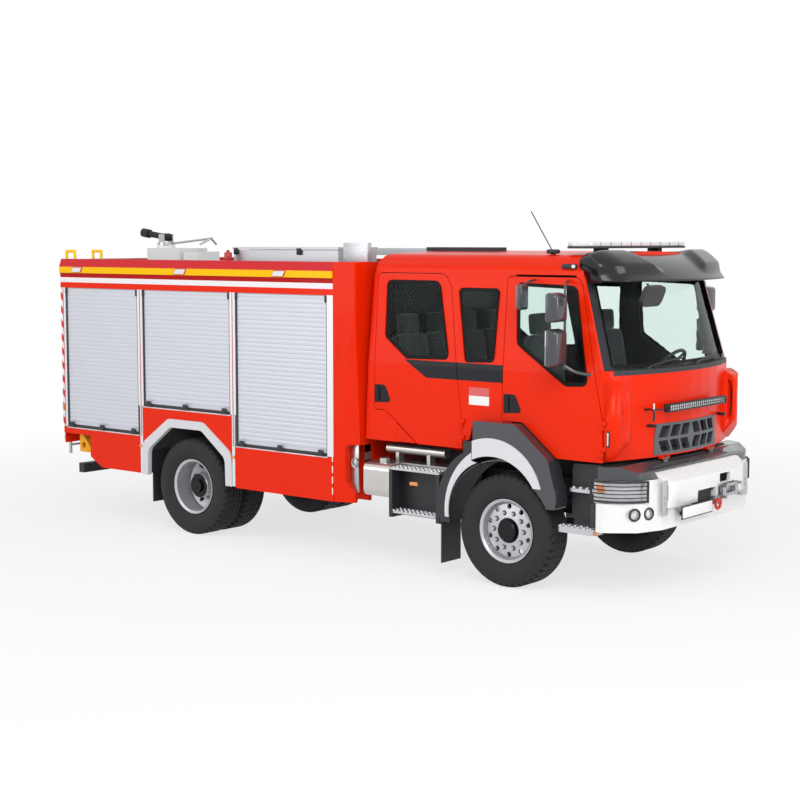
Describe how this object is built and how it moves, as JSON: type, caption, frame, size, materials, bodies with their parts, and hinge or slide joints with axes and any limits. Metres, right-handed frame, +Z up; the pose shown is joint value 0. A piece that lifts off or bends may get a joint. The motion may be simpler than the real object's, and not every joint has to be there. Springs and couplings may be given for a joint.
{
  "type": "airport fire truck",
  "caption": "Crew cab fire engine with a roller-shutter equipment body, tilting cab, opening doors, steering, turning wheels and a roof water cannon.",
  "frame": {"origin": "centre of the bounding box on the ground", "axes": "+X forwards, +Y to the vehicle's left, +Z up"},
  "size_m": [7.9, 2.9042, 3.4563],
  "materials": {
    "red_paint": "gloss",
    "white_paint": "gloss",
    "yellow_paint": "gloss",
    "chassis_paint": "satin",
    "black_plastic": "satin",
    "grey_plastic": "satin",
    "gloss_black": "gloss",
    "aluminium": "satin",
    "steel": "satin",
    "cast": "matt",
    "glass": "clear",
    "lamp_lens": "gloss",
    "rubber": "matt",
    "wheel_paint": "satin",
    "seat_cloth": "woven",
    "trim": "matt"
  },
  "bodies": {
    "chassis": {"frame_rails": "chassis_paint", "front_axle": "cast", "rear_axle": "cast", "engine": "cast", "tanks": "aluminium", "step_boxes": "black_plastic", "step_treads": "aluminium", "bumper": "white_paint", "bumper_cowl": "grey_plastic", "lamps": "lamp_lens", "winch": "steel", "mudguards": "black_plastic", "arch_trims": "white_paint", "body_frame": "aluminium", "body_roof": "red_paint", "body_walls": "red_paint", "side_skirts": "red_paint", "roller_shutters": "aluminium", "ladders": "aluminium", "roof_boxes": "white_paint", "roof_locker": "aluminium", "wheel_chocks": "yellow_paint"},
    "cab": {"cab_floor": "grey_plastic", "cab_back": "red_paint", "cab_roof": "red_paint", "cab_sides": "red_paint", "cab_front": "red_paint", "cab_glass": "glass", "grille": "grey_plastic", "cab_lamps": "lamp_lens", "visor": "gloss_black", "dashboard": "trim", "seats": "seat_cloth", "cab_fittings": "black_plastic", "cab_fenders": "black_plastic", "fender_trims": "white_paint"},
    "door_front_right": {"door_front_right": "red_paint", "glass_front_right": "glass", "mirror_right": "black_plastic"},
    "door_rear_right": {"door_rear_right": "red_paint", "glass_rear_right": "glass"},
    "door_front_left": {"door_front_left": "red_paint", "glass_front_left": "glass", "mirror_left": "black_plastic"},
    "door_rear_left": {"door_rear_left": "red_paint", "glass_rear_left": "glass"},
    "knuckle_right": {"knuckle_right": "cast"},
    "wheel_front_right": {"rim_front_right": "wheel_paint", "tyre_front_right": "rubber"},
    "wheel_rear_right": {"rim_rear_right": "wheel_paint", "tyres_rear_right": "rubber"},
    "knuckle_left": {"knuckle_left": "cast"},
    "wheel_front_left": {"rim_front_left": "wheel_paint", "tyre_front_left": "rubber"},
    "wheel_rear_left": {"rim_rear_left": "wheel_paint", "tyres_rear_left": "rubber"},
    "locker_lid": {"locker_lid": "aluminium"},
    "cannon_swivel": {"cannon_swivel": "steel"},
    "cannon_barrel": {"cannon_barrel": "steel"}
  },
  "joints": [
    {"name": "cab_tilt", "type": "hinge", "parent": "chassis", "child": "cab", "pos_m": [3.63, 0, 1.235], "axis": [0, 1, 0], "range_deg": [0, 50]},
    {"name": "door_front_right_open", "type": "hinge", "parent": "cab", "child": "door_front_right", "pos_m": [3.4085, -1.133, 1.5], "axis": [0, 0, 1], "range_deg": [0, 75]},
    {"name": "door_rear_right_open", "type": "hinge", "parent": "cab", "child": "door_rear_right", "pos_m": [1.8585, -1.133, 1.4], "axis": [0, 0, 1], "range_deg": [0, 70]},
    {"name": "door_front_left_open", "type": "hinge", "parent": "cab", "child": "door_front_left", "pos_m": [3.4085, 1.133, 1.5], "axis": [0, 0, -1], "range_deg": [0, 75]},
    {"name": "door_rear_left_open", "type": "hinge", "parent": "cab", "child": "door_rear_left", "pos_m": [1.8585, 1.133, 1.4], "axis": [0, 0, -1], "range_deg": [0, 70]},
    {"name": "steer_right", "type": "hinge", "parent": "chassis", "child": "knuckle_right", "pos_m": [2.4, -0.875, 0.525], "axis": [0, 0, 1], "range_deg": [-36, 36]},
    {"name": "wheel_front_right_spin", "type": "hinge", "parent": "knuckle_right", "child": "wheel_front_right", "pos_m": [2.4, -1.05, 0.525], "axis": [0, 1, 0], "continuous": true},
    {"name": "wheel_rear_right_spin", "type": "hinge", "parent": "chassis", "child": "wheel_rear_right", "pos_m": [-1.77, -1.065, 0.525], "axis": [0, 1, 0], "continuous": true},
    {"name": "steer_left", "type": "hinge", "parent": "chassis", "child": "knuckle_left", "pos_m": [2.4, 0.875, 0.525], "axis": [0, 0, 1], "range_deg": [-36, 36]},
    {"name": "wheel_front_left_spin", "type": "hinge", "parent": "knuckle_left", "child": "wheel_front_left", "pos_m": [2.4, 1.05, 0.525], "axis": [0, 1, 0], "continuous": true},
    {"name": "wheel_rear_left_spin", "type": "hinge", "parent": "chassis", "child": "wheel_rear_left", "pos_m": [-1.77, 1.065, 0.525], "axis": [0, 1, 0], "continuous": true},
    {"name": "locker_lid_open", "type": "hinge", "parent": "chassis", "child": "locker_lid", "pos_m": [-0.575, -0.224, 3.069], "axis": [-1, 0, 0], "range_deg": [0, 100]},
    {"name": "cannon_turn", "type": "hinge", "parent": "chassis", "child": "cannon_swivel", "pos_m": [-3.37, -0.08, 3.15], "axis": [0, 0, 1], "range_deg": [-170, 170]},
    {"name": "cannon_raise", "type": "hinge", "parent": "cannon_swivel", "child": "cannon_barrel", "pos_m": [-3.37, -0.08, 3.228], "axis": [0, 1, 0], "range_deg": [-15, 65]}
  ],
  "couplings": [
    {"joint": "steer_left", "follows": "steer_right", "ratio": 1}
  ]
}
